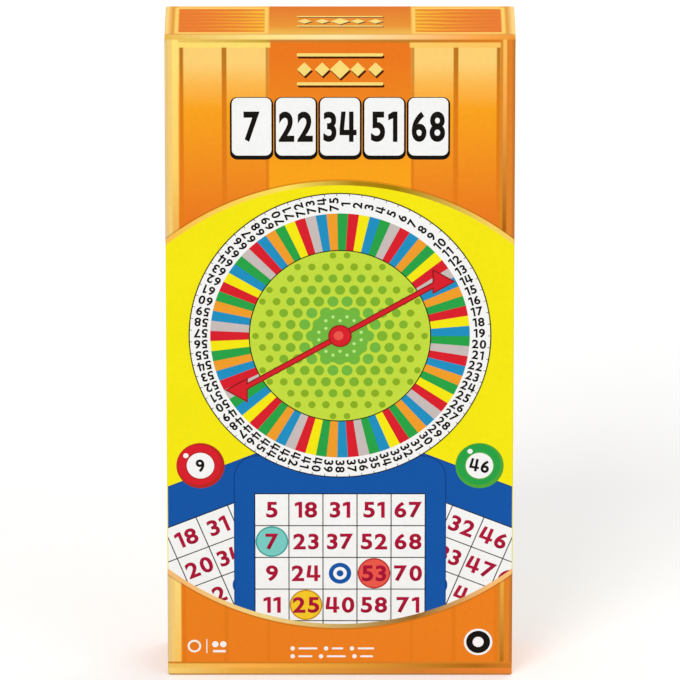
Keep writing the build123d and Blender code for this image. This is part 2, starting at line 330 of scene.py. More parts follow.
@dataclass(frozen=True)
class FieldShape:
    """The outline of the yellow field, an arc above and an arc below, both as wide as the box."""

    top: float = 208.2
    top_radius: float = 107.0
    bottom: float = 22.2
    bottom_radius: float = 111.2
    rim: float = 1.8
    soft: float = 0.06
    arc_half: float = 42.0
    arc_lines: int = 57

    def middle(self) -> float:
        """Returns the height of the field's middle."""
        return (self.top + self.bottom) / 2

    def arcs(self) -> tuple[tuple[float, float, float], ...]:
        """Returns the height of each arc's centre, its radius and the direction of its middle."""
        above = (self.top - self.top_radius, self.top_radius, 90.0)
        return above, (self.bottom + self.bottom_radius, self.bottom_radius, 270.0)

    def mask(self, nodes: Nodes, at: Place, grow: float) -> Socket:
        """Returns a mask of the field on the front.

        Args:
            nodes: The tree that it is for.
            at: The place on the surface.
            grow: How far the outline is moved out.

        Returns:
            A socket that is 1 inside.
        """
        inside = []
        for centre, radius, _ in self.arcs():
            rise = nodes.maths("ABSOLUTE", nodes.maths("SUBTRACT", at["z"], centre))
            squares = [nodes.maths("POWER", side, 2.0) for side in (rise, at["aside"])]
            reach = nodes.maths("SQRT", nodes.maths("ADD", *squares))
            inside.append(nodes.invert(nodes.step(reach, radius + grow, self.soft)))
        return nodes.maths("MINIMUM", *inside)

    def lines(self, grow: float, half_width: float) -> list[HalfPlane]:
        """Returns the lines round the field, for cutting a flat shape to it.

        Args:
            grow: How far the arcs are moved out.
            half_width: Half the width of the flat front.

        Returns:
            Lines, each a point and the direction out.
        """
        lines = [((side * half_width, 0.0), (side, 0.0)) for side in (1.0, -1.0)]
        for centre, radius, middle in self.arcs():
            reach = radius + grow
            for index in range(self.arc_lines):
                share = 2 * self.arc_half * index / (self.arc_lines - 1)
                angle = math.radians(middle - self.arc_half + share)
                out = (math.cos(angle), math.sin(angle))
                lines.append(((reach * out[0], centre + reach * out[1]), out))
        return lines


@dataclass(frozen=True)
class Stripe:
    """A printed stripe between two places on an axis, or from one place on where the other is None.

    Its paint is one colour, or a fade along an axis, as a few places in millimetres with the colour there.
    """

    across: str
    low: float | None
    high: float | None
    paint: Fade | str = ""
    along: str = "x"
    soft: float = 0.3
    share: float = 1.0
    within: Stripe | None = None

    def mask(self, nodes: Nodes, at: Place) -> Socket:
        """Returns a mask of the stripe, and of what it lies within.

        Args:
            nodes: The tree.
            at: The place on the surface.

        Returns:
            A socket that is 1 inside.
        """
        value = at[self.across]
        if self.high is None:
            mask = nodes.step(value, self.low, self.soft)
        elif self.low is None:
            mask = nodes.invert(nodes.step(value, self.high, self.soft))
        else:
            mask = nodes.band(value, self.low, self.high, self.soft)
        return nodes.product(mask, self.within.mask(nodes, at)) if self.within else mask

    def lay(self, nodes: Nodes, at: Place, under: Paint) -> Socket:
        """Returns a colour with this stripe over it.

        Args:
            nodes: The tree.
            at: The place on the surface.
            under: The colour under it.

        Returns:
            The colour of both.
        """
        paint = self.paint if isinstance(self.paint, str) else nodes.ramp(at[self.along], self.paint)
        return nodes.mix(nodes.product(self.mask(nodes, at), self.share), under, paint)


COLUMN: Fade = ((30, "EE8220"), (194, "EB7A20"), (240, "FBA31F"), (250, "FEB94F"), (259, "FED175"))
GROOVE: Fade = ((200, "E77D1A"), (244, "DA7C17"), (258, "C3791E"), (266, "B9741C"))
CORNICE: Fade = ((-40, "FEDF70"), (54, "FEC660"))
# Painted highlight along the edge between the front and the top, nearly white in the middle, laid on both
# faces.
EDGE_HIGHLIGHT: Fade = ((-68, "E8B850"), (-30, "FEE288"), (0, "FFE4A4"), (54, "FEA74A"), (68, "EC9A38"))
SHINE_SHADE: Fade = ((-66, "F2CA66"), (-29, "C7A13C"), (-27, "D07F32"), (29, "C07C27"), (66, "E07C1D"))
RIGHT_GAP: Fade = ((0, "DA8429"), (270, "DA8A2C"))
RIGHT_LINE: Fade = ((6, "B46E16"), (40, "F0AA45"), (190, "AC5E0C"), (242, "F8A848"), (262, "FFC060"))
RIGHT_EDGE: Fade = ((65.8, "DE8426"), (67.4, "E6842B"), (68.2, "C27832"))
LEFT_LINE: Fade = ((8, "FDC864"), (40, "FDDC7E"), (192, "F2B855"), (214, "FFD36A"), (262, "FFE278"))
LEFT_EDGE: Fade = ((-69, "F2D8A0"), (-68.1, "E6C57D"), (-67.2, "F7CE76"))
FOOT_GAP: Fade = ((-62, "D27E20"), (30, "DA8429"))
FOOT_INNER: Fade = ((-66, "F4C562"), (-36, "FCB54D"), (0, "E8A23B"), (54, "B26D17"), (66, "CC7B27"))
FOOT_OUTER: Fade = ((-68, "FAD377"), (-40, "EBAE48"), (30, "D78532"), (66, "EC8634"))

FRONT_STRIPES = (
    Stripe("aside", 28.0, None, COLUMN, "z"),
    Stripe("aside", 61.6, 63.1, GROOVE, "z"),
    Stripe("aside", 44.6, 46.5, GROOVE, "z"),
    Stripe("aside", 28.0, 29.2, GROOVE, "z", share=0.8),
    Stripe("z", 265.4, None, CORNICE, soft=0.25, within=Stripe("aside", 27.4, None)),
    Stripe("z", 267.5, None, SHINE_SHADE, soft=0.35),
    Stripe("x", 63.1, None, RIGHT_GAP, "z"),
    Stripe("x", 64.1, None, RIGHT_LINE, "z"),
    Stripe("x", 65.6, None, RIGHT_EDGE),
    Stripe("x", None, -63.6, LEFT_LINE, "z"),
    Stripe("x", None, -66.1, LEFT_EDGE),
    Stripe("z", None, 5.9, FOOT_GAP),
    Stripe("z", None, 5.1, FOOT_INNER),
    Stripe("z", None, 3.2, FOOT_OUTER),
    # Darker along the bottom 0.9 mm of the front.
    Stripe("z", None, 0.9, "B98144", share=0.7),
    # Painted highlight along the top edge of the front.
    Stripe("z", 268.7, None, EDGE_HIGHLIGHT, soft=0.35),
)
SIDE_STRIPES = (
    *(Stripe("y", low, high, GROOVE, "z") for low, high in ((-17.6, -15.8), (-1.9, -0.1), (13.8, 15.6))),
    Stripe("z", 265.4, None, "FFDA74", soft=0.25),
    Stripe("z", 267.3, 268.7, "E59A2C", soft=0.25),
    Stripe("z", None, 5.1, "F4B050"),
    Stripe("z", 44.5, 184.2, "FFD27A", soft=0.1),
    Stripe("z", 46.3, 182.4, Ink.YELLOW.value, soft=0.1),
)
BACK_FACE = Stripe("y", 19.7, None, soft=0.05)
BASE_STRIPES = (
    Stripe("aside", 57.0, 58.5, "DE7A1C"),
    Stripe("aside", 40.0, 41.9, "DE7A1C"),
    Stripe("aside", 63.5, None, "FFCF74", within=BACK_FACE),
    Stripe("z", 264.5, None, "FFCF74", within=BACK_FACE),
    Stripe("z", None, 5.1, "FFCF74", within=BACK_FACE),
)


@dataclass(frozen=True)
class TopPrint:
    """The print of the top, with drawn wood grain in two panels beside a plain middle, and a painted
    highlight along its front edge.
    """

    streak: float = 4.4
    wander: float = 3.2
    grain: Fade = ((0.1, "E97510"), (0.4, "EC8010"), (0.62, "EE9210"), (0.9, "F2A618"), (1.2, "F9BE28"))
    edge: Fade = ((28, "FDBE4A"), (63, "FDC458"), (66, "E59A2C"), (68, "FFD680"))
    lip: Stripe = Stripe("aside", 28.6, 65.0, "FFD266", within=Stripe("y", -16.2, 16.0))
    panel: Stripe = Stripe("aside", 29.6, 63.6, soft=0.4, within=Stripe("y", -14.8, 14.6, soft=0.4))
    stripes: tuple[Stripe, ...] = (
        Stripe("aside", None, 28.0, ((-18, "F0BC4A"), (-6, "EA9018"), (16, "E4760C")), "y"),
        Stripe("y", -17.6, -16.9, "D98E2A"),
        # Painted highlight along the front edge of the top.
        Stripe("y", None, -17.6, EDGE_HIGHLIGHT),
    )

    def colour(self, nodes: Nodes, at: Place) -> Socket:
        """Returns the printed colour, whose grain turns gold towards the middle.

        Args:
            nodes: The tree.
            at: The place on the surface.

        Returns:
            The colour socket.
        """
        along = nodes.add("VectorMath", {0: at["all"], 1: (0.4, 1.0, 0.0)}, operation="MULTIPLY").outputs[0]
        waves = {"Vector": along, "Scale": math.tau / 20 / self.streak, "Distortion": self.wander}
        waves |= {"Detail": 1.0, "Detail Scale": 1.1}
        combed = nodes.add("TexWave", waves, bands_direction="Y").outputs["Fac"]
        spread = {"Value": at["aside"], "From Min": 28.0, "From Max": 60.0, "To Min": 0.62, "To Max": -0.42}
        inward = nodes.add("MapRange", spread).outputs["Result"]
        gold = nodes.maths("MULTIPLY_ADD", combed, 0.72, inward)
        colour = self.lip.lay(nodes, at, nodes.ramp(at["aside"], self.edge))
        colour = nodes.mix(self.panel.mask(nodes, at), colour, nodes.ramp(gold, self.grain))
        for stripe in self.stripes:
            colour = stripe.lay(nodes, at, colour)
        return colour


@dataclass(frozen=True)
class GroundPrint:
    """The orange ground of the box, with columns, a cornice, a frame drawn in relief and the field's rim."""

    field: FieldShape = FieldShape()
    top_face: Stripe = Stripe("z", 269.7, None, soft=0.05)
    front_face: Stripe = Stripe("y", None, -19.7, soft=0.05)
    centre: Fade = ((30, "EE8220"), (200, "FBA31A"), (216, "FBA31A"), (240, "F08820"), (262, "ED791E"))
    back: Fade = ((0, "EE7E20"), (135, "F4902A"), (262, "FBA83A"))
    rim_above: Fade = ((-66, "FBC351"), (-20, "FDE25E"), (6, "AC8414"), (22, "A07C02"), (60, "F8D460"))
    rim_below: Fade = ((-60, "F8C078"), (-30, "F5DA8A"), (30, "96682C"), (60, "F8C078"))
    outline: str = "A8641A"
    outline_width: float = 0.7
    outline_share: float = 0.4

    def layered(self, nodes: Nodes, at: Place, ground: Fade, stripes: Iterable[Stripe]) -> Socket:
        """Returns a ground that fades upwards, with stripes laid over it.

        Args:
            nodes: The tree.
            at: The place on the surface.
            ground: The fade of the ground.
            stripes: The stripes, lowest first.

        Returns:
            The colour socket.
        """
        colour = nodes.ramp(at["z"], ground)
        for stripe in stripes:
            colour = stripe.lay(nodes, at, colour)
        return colour

    def front(self, nodes: Nodes, at: Place) -> Socket:
        """Returns the printed colour of the front, with a painted highlight along its top edge.

        Args:
            nodes: The tree.
            at: The place on the surface.

        Returns:
            The colour socket.
        """
        colour = self.layered(nodes, at, self.centre, FRONT_STRIPES)
        outline = self.field.mask(nodes, at, self.field.rim + self.outline_width)
        colour = nodes.mix(nodes.product(outline, self.outline_share), colour, self.outline)
        colour = nodes.mix(self.field.mask(nodes, at, self.field.rim), colour, self.rim_colour(nodes, at))
        return nodes.mix(self.field.mask(nodes, at, 0.0), colour, Ink.YELLOW.value)

    def rim_colour(self, nodes: Nodes, at: Place) -> Socket:
        """Returns the colour of the field's rim, which shines at the sides and darkens past its middle."""
        below, above = (nodes.ramp(at["x"], fade) for fade in (self.rim_below, self.rim_above))
        return nodes.mix(nodes.step(at["z"], self.field.middle(), 1.0), below, above)

    def lid(self) -> bpy.types.Material:
        """Returns the material of the lid's paper, whose field runs on as a band round the sides."""
        nodes = Nodes("lid_paper")
        at = nodes.place()
        colour = self.layered(nodes, at, COLUMN, SIDE_STRIPES)
        colour = nodes.mix(self.top_face.mask(nodes, at), colour, TopPrint().colour(nodes, at))
        colour = nodes.mix(self.front_face.mask(nodes, at), colour, self.front(nodes, at))
        return Varnish().finish(nodes, colour, at["all"])

    def rim(self) -> bpy.types.Material:
        """Returns the material of the field's rim."""
        nodes = Nodes("rim_gold")
        at = nodes.place()
        return Varnish().finish(nodes, self.rim_colour(nodes, at), at["all"])

    def base(self) -> bpy.types.Material:
        """Returns the material of the base's paper."""
        nodes = Nodes("base_paper")
        at = nodes.place()
        return Varnish().finish(nodes, self.layered(nodes, at, self.back, BASE_STRIPES), at["all"])


@dataclass(frozen=True)
class Greyboard:
    """Bare chipboard, flecked with fibre."""

    colour: str = "A39B8D"
    dark: str = "8A8274"
    fleck: str = "6F675B"

    def material(self) -> bpy.types.Material:
        """Returns the material."""
        nodes = Nodes("greyboard")
        where = nodes.place()["all"]
        clouded = nodes.mix(nodes.speckle(where, 0.35, 8.0), self.dark, self.colour)
        fibre = nodes.speckle(where, 2.4, 4.0)
        colour = nodes.mix(nodes.band(fibre, 0.62, 0.9, 0.04), clouded, self.fleck)
        return nodes.surface(Base_Color=colour, Roughness=0.92, Normal=nodes.bump(fibre, 0.5, 0.05))


@dataclass(frozen=True)
class CardStock:
    """Printed card, with the board and the edges of its two papers showing where it is cut."""

    first: float
    pitch: float
    face: Ink = Ink.BLUE
    paper_share: float = 0.13
    board: str = "CFC9BA"
    board_dark: str = "A9A293"

    def material(self) -> bpy.types.Material:
        """Returns the material."""
        nodes = Nodes("card_stock")
        at = nodes.place()
        parts = nodes.add("SeparateXYZ", {0: nodes.add("TexCoord").outputs["Normal"]})
        flat = nodes.step(nodes.maths("ABSOLUTE", parts.outputs[1]), 0.6, 0.1)
        layers = nodes.mix(nodes.speckle(at["all"], 3.0, 4.0), self.board_dark, self.board)
        depth = nodes.maths("DIVIDE", nodes.maths("SUBTRACT", at["y"], self.first), self.pitch)
        core = nodes.band(nodes.maths("FRACT", depth), self.paper_share, 1 - self.paper_share, 0.03)
        layers = nodes.mix(core, self.face.value, layers)
        return Varnish().finish(nodes, nodes.mix(flat, layers, self.face.value), at["all"])


@dataclass(frozen=True)
class MouldedPlastic:
    """Moulded or vacuum-formed plastic, clear or solid."""

    name: str
    colour: str
    roughness: float = 0.3
    clear: float = 0.0
    bleed: float = 0.0
    bleed_depth_m: float = 0.002
    ripple: float = 0.02
    ior: float = 1.49

    def material(self) -> bpy.types.Material:
        """Returns the material."""
        nodes = Nodes(self.name)
        where = nodes.place()["all"]
        return nodes.surface(
            Base_Color=nodes.drift(nodes.speckle(where, 0.06, 2.0), self.colour, 0.1),
            Roughness=self.roughness,
            Transmission_Weight=self.clear,
            IOR=self.ior,
            Subsurface_Weight=self.bleed,
            Subsurface_Scale=self.bleed_depth_m,
            Normal=nodes.bump(nodes.speckle(where, 0.9, 2.0), 0.3, self.ripple),
        )


@dataclass(frozen=True)
class LeafletPaper:
    """Thin white paper with blocks of grey bars under orange ones, where the rules would be set."""

    line_pitch: float = 2.9
    text_half: float = 44.0
    rows: int = 9
    bar: Point = (0.3, 0.62)
    word_scale: Point = (0.45, 7.3)
    word_share: float = 0.4
    heading_end: float = -16.0
    last_row_end: float = -4.0
    cover: float = 0.85
    paper: str = "F5F4EF"
    grey: str = "8B8D90"

    def material(self) -> bpy.types.Material:
        """Returns the material."""
        nodes = Nodes("leaflet_paper")
        at = nodes.place()
        turns = nodes.maths("DIVIDE", at["z"], self.line_pitch)
        row = nodes.maths("FLOOR", turns)
        bars = nodes.band(nodes.maths("FRACT", turns), *self.bar, 0.05)
        across, down = (nodes.product(value, scale) for value, scale in zip((at["x"], row), self.word_scale))
        place = nodes.add("CombineXYZ", {0: across, 1: down})
        words = nodes.step(nodes.speckle(place.outputs[0], 1.0, 1.0), self.word_share, 0.015)
        in_block = nodes.maths("MODULO", row, float(self.rows))
        heading = nodes.maths("GREATER_THAN", in_block, self.rows - 1.5)
        last = nodes.maths("LESS_THAN", in_block, 1.5)
        mask = nodes.product(
            bars,
            nodes.band(at["x"], -self.text_half, self.text_half, 0.2),
            nodes.maths("MAXIMUM", words, heading),
            nodes.step(in_block, 0.5, 0.1),
            nodes.invert(nodes.product(last, nodes.step(at["x"], self.last_row_end, 0.2))),
            nodes.invert(nodes.product(heading, nodes.step(at["x"], self.heading_end, 0.2))),
            self.cover,
        )
        colour = nodes.mix(mask, self.paper, nodes.mix(heading, self.grey, Ink.ORANGE.value))
        fibre = nodes.speckle(at["all"], 2.0, 4.0)
        return nodes.surface(Base_Color=colour, Roughness=0.85, Normal=nodes.bump(fibre, 0.3, 0.01))


def alone(piece: Shape | None = None) -> None:
    """Deselects everything, then selects one piece and makes it active."""
    bpy.ops.object.select_all(action="DESELECT")
    if piece is not None:
        piece.select_set(True)
        bpy.context.view_layer.objects.active = piece


@dataclass(frozen=True)
class BlockFigure:
    """A figure one unit high, made of the marked cells of an uneven grid, with the top row of cells first."""

    columns: tuple[float, ...]
    rows: tuple[float, ...]
    cells: tuple[str, ...]
    slants: dict[tuple[int, int], Point]

    def draw(self) -> bpy.types.Mesh:
        """Returns the figure's mesh."""
        alone()
        across, up = len(self.columns) - 1, len(self.rows) - 1
        bpy.ops.mesh.primitive_grid_add(x_subdivisions=across, y_subdivisions=up, size=1.0)
        shape = bpy.context.active_object
        bpy.ops.object.mode_set(mode="EDIT")
        bpy.ops.mesh.select_mode(type="FACE")
        bpy.ops.mesh.select_all(action="DESELECT")
        bpy.ops.object.mode_set(mode="OBJECT")
        for face in shape.data.polygons:
            column, row = int((face.center.x + 0.5) * across), int((0.5 - face.center.y) * up)
            face.select = self.cells[row][column] != "#"
        bpy.ops.object.mode_set(mode="EDIT")
        bpy.ops.mesh.delete(type="FACE")
        bpy.ops.object.mode_set(mode="OBJECT")
        for vertex in shape.data.vertices:
            column, row = round((vertex.co.x + 0.5) * across), round((vertex.co.y + 0.5) * up)
            aside, higher = self.slants.get((column, row), (0.0, 0.0))
            vertex.co = (self.columns[column] + aside, self.rows[row] + higher, 0.0)
        mesh = shape.data.copy()
        bpy.data.objects.remove(shape)
        return mesh


BLOCK_FIGURES = {
    "1": BlockFigure(
        (0.0, 0.2, 0.39),
        (0.0, 0.78, 1.0),
        ("##", ".#"),
        {(0, 1): (0.0, -0.07), (0, 2): (0.0, -0.1)},
    ),
    "4": BlockFigure(
        (0.0, 0.19, 0.4, 0.59, 0.72),
        (0.0, 0.22, 0.4, 1.0),
        ("#.#.", "####", "..#."),
        {(0, 3): (0.07, 0.0), (1, 3): (0.07, 0.0)},
    ),
}


class Press:
    """Draws flat shapes and turns them into printed pieces."""

    figure_weight = 0.03
    figure_gap = 0.13
    corner_steps = 8

    def __init__(self, shelf: InkShelf) -> None:
        """Keeps the printed colours, and starts with no figure drawn."""
        self.shelf = shelf
        self.figures: dict[str, bpy.types.Mesh] = {}

    def settle(self, ink: Ink) -> Shape:
        """Gives the active shape its colour, and puts its place in its mesh.

        Args:
            ink: The colour.

        Returns:
            The flat shape.
        """
        shape = bpy.context.active_object
        bpy.ops.object.transform_apply(location=True, rotation=True, scale=True)
        shape.data.materials.clear()
        shape.data.materials.append(self.shelf.get(ink))
        return shape

    def disc(
        self, ink: Ink, centre: Point, radius: float, level: int, corners: int = 72, turn: float = 0
    ) -> Shape:
        """Draws a disc, or a regular shape with few corners.

        Args:
            ink: Its colour.
            centre: Its middle.
            radius: The distance from its middle to its corners.
            level: Its level.
            corners: How many corners it has.
            turn: Its turn.

        Returns:
            The flat shape.
        """
        alone()
        place = {"location": (*centre, level * INK), "rotation": (0, 0, math.radians(turn))}
        bpy.ops.mesh.primitive_circle_add(vertices=corners, radius=radius, fill_type="NGON", **place)
        return self.settle(ink)

    def panel(self, ink: Ink, centre: Point, size: Point, level: int, corner: float = 0.0) -> Shape:
        """Draws a rectangle, with rounded corners where a radius is given.

        Args:
            ink: Its colour.
            centre: Its middle.
            size: Its width and height.
            level: Its level.
            corner: The radius of its corners.

        Returns:
            The flat shape.
        """
        alone()
        bpy.ops.mesh.primitive_plane_add(size=1.0)
        shape = bpy.context.active_object
        shape.scale = (*size, 1.0)
        bpy.ops.object.transform_apply(location=False, rotation=False, scale=True)
        if corner > 0:
            bpy.ops.object.mode_set(mode="EDIT")
            bpy.ops.mesh.select_all(action="SELECT")
            bpy.ops.mesh.bevel(offset=corner, segments=self.corner_steps, affect="VERTICES")
            bpy.ops.object.mode_set(mode="OBJECT")
        shape.location = (*centre, level * INK)
        return self.settle(ink)

    def figure(self, digit: str) -> bpy.types.Mesh:
        """Finds one bold figure, and draws it the first time.

        Args:
            digit: The figure.

        Returns:
            Its mesh, one unit high and centred.
        """
        if digit not in self.figures:
            block = BLOCK_FIGURES.get(digit)
            mesh = block.draw() if block else self.lettered(digit)
            xs = [v.co.x for v in mesh.vertices]
            ys = [v.co.y for v in mesh.vertices]
            middle = Matrix.Translation((-(min(xs) + max(xs)) / 2, -(min(ys) + max(ys)) / 2, 0))
            mesh.transform(Matrix.Scale(1 / (max(ys) - min(ys)), 4) @ middle)
            self.figures[digit] = mesh
        return self.figures[digit]

    def lettered(self, digit: str) -> bpy.types.Mesh:
        """Draws one figure of the plain typeface.

        Args:
            digit: The figure.

        Returns:
            Its mesh.
        """
        alone()
        bpy.ops.object.text_add()
        text = bpy.context.active_object
        text.data.body = digit
        text.data.resolution_u = 6
        text.data.offset = self.figure_weight
        text.data.fill_mode = "FRONT"
        bpy.ops.object.convert(target="MESH")
        bpy.ops.object.mode_set(mode="EDIT")
        bpy.ops.mesh.select_all(action="SELECT")
        bpy.ops.mesh.remove_doubles(threshold=0.0005)
        bpy.ops.object.mode_set(mode="OBJECT")
        mesh = text.data.copy()
        bpy.data.objects.remove(text)
        return mesh

    def number(
        self, ink: Ink, value: int, centre: Point, size: float, level: int, turn: float = 0, width: float = 1
    ) -> Shapes:
        """Sets a number, centred on a place.

        Args:
            ink: Its colour.
            value: The number.
            centre: Its middle.
            size: The height of its figures.
            level: Its level.
            turn: Its turn.
            width: How much wider than drawn the figures are.

        Returns:
            The flat shapes, one for each figure.
        """
        meshes = [self.figure(digit) for digit in str(value)]
        widths = [max(v.co.x for v in mesh.vertices) * 2 for mesh in meshes]
        start = -(sum(widths) + self.figure_gap * (len(widths) - 1)) / 2
        shapes = []
        for mesh, own in zip(meshes, widths):
            copy = mesh.copy()
            copy.transform(Matrix.Translation((start + own / 2, 0, 0)))
            copy.transform(Matrix.Diagonal((size * width, size, 1.0, 1.0)))
            copy.transform(Matrix.Rotation(math.radians(turn), 4, "Z"))
            copy.transform(Matrix.Translation((*centre, level * INK)))
            copy.materials.clear()
            copy.materials.append(self.shelf.get(ink))
            shapes.append(self.link("figure", copy))
            start += own + self.figure_gap
        return shapes

    def link(self, name: str, mesh: bpy.types.Mesh) -> Shape:
        """Puts a mesh in the scene as a shape."""
        shape = bpy.data.objects.new(name, mesh)
        bpy.context.scene.collection.objects.link(shape)
        return shape

    def repeat(self, shape: Shape, placings: Iterable[Matrix]) -> Shapes:
        """Puts copies of a flat shape in its stead.

        Args:
            shape: The shape.
            placings: What moves each copy from there.

        Returns:
            The copies, each with its own mesh.
        """
        shapes = []
        for placing in placings:
            mesh = shape.data.copy()
            mesh.transform(placing)
            shapes.append(self.link("repeat", mesh))
        bpy.data.objects.remove(shape)
        return shapes

    def spread(self, shape: Shape, count: int) -> Shapes:
        """Repeats a flat shape evenly round the drawing's middle."""
        turns = [Matrix.Rotation(math.tau * index / count, 4, "Z") for index in range(count)]
        return self.repeat(shape, turns)

    def move(self, shapes: Shapes, centre: Point, turn: float = 0, level: int = 0) -> Shapes:
        """Turns flat shapes about the drawing's middle, moves them and returns them.

        Args:
            shapes: The shapes.
            centre: Where the drawing's middle goes.
            turn: The turn.
            level: How many levels they are raised by.

        Returns:
            The same shapes.
        """
        placing = Matrix.Translation((*centre, level * INK)) @ Matrix.Rotation(math.radians(turn), 4, "Z")
        for shape in shapes:
            shape.data.transform(placing)
        return shapes

    def print(
        self,
        name: str,
        shapes: Sequence[Shape],
        side: Side,
        origin: Sequence[float],
        body: str,
        slot: str,
        clip: Sequence[HalfPlane] = (),
    ) -> Shape:
        """Joins flat shapes, cuts them to a region, makes them as thick as ink and lays them on a face.

        Args:
            name: The piece's name.
            shapes: The flat shapes.
            side: The face that carries them.
            origin: Where the drawing's origin lies.
            body: The body that the print rides on.
            slot: The name of a material slot, which is not used.
            clip: Lines, each a point and the direction that leads out of the region.

        Returns:
            The finished piece.
        """
        alone(shapes[0])
        for shape in shapes:
            shape.select_set(True)
        if len(shapes) > 1:
            bpy.ops.object.join()
        piece = bpy.context.active_object
        bpy.ops.object.mode_set(mode="EDIT")
        for point, out in clip:
            bpy.ops.mesh.select_all(action="SELECT")
            bpy.ops.mesh.bisect(plane_co=(*point, 0), plane_no=(*out, 0), clear_outer=True)
        bpy.ops.object.mode_set(mode="OBJECT")
        thick = piece.modifiers.new("ink", "SOLIDIFY")
        thick.thickness = INK
        thick.offset = 1.0
        bpy.ops.object.modifier_apply(modifier=thick.name)
        place = Matrix.Translation(Vector(origin) * MM) @ side.turn() @ Matrix.Scale(MM, 4)
        piece.data.transform(place)
        piece.name = name
        piece.data.name = name
        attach(piece, body)
        LOG.info("%s: %d faces on %s", name, len(piece.data.polygons), body)
        return piece


SECTOR_INKS = {"S": Ink.SKY, "Y": Ink.YELLOW, "R": Ink.RED, "G": Ink.GREEN, "O": Ink.ORANGE, "N": Ink.GREY}
DOT_INKS = ((0.45, Ink.LEAF), (0.72, Ink.FERN), (1.0, Ink.OLIVE))


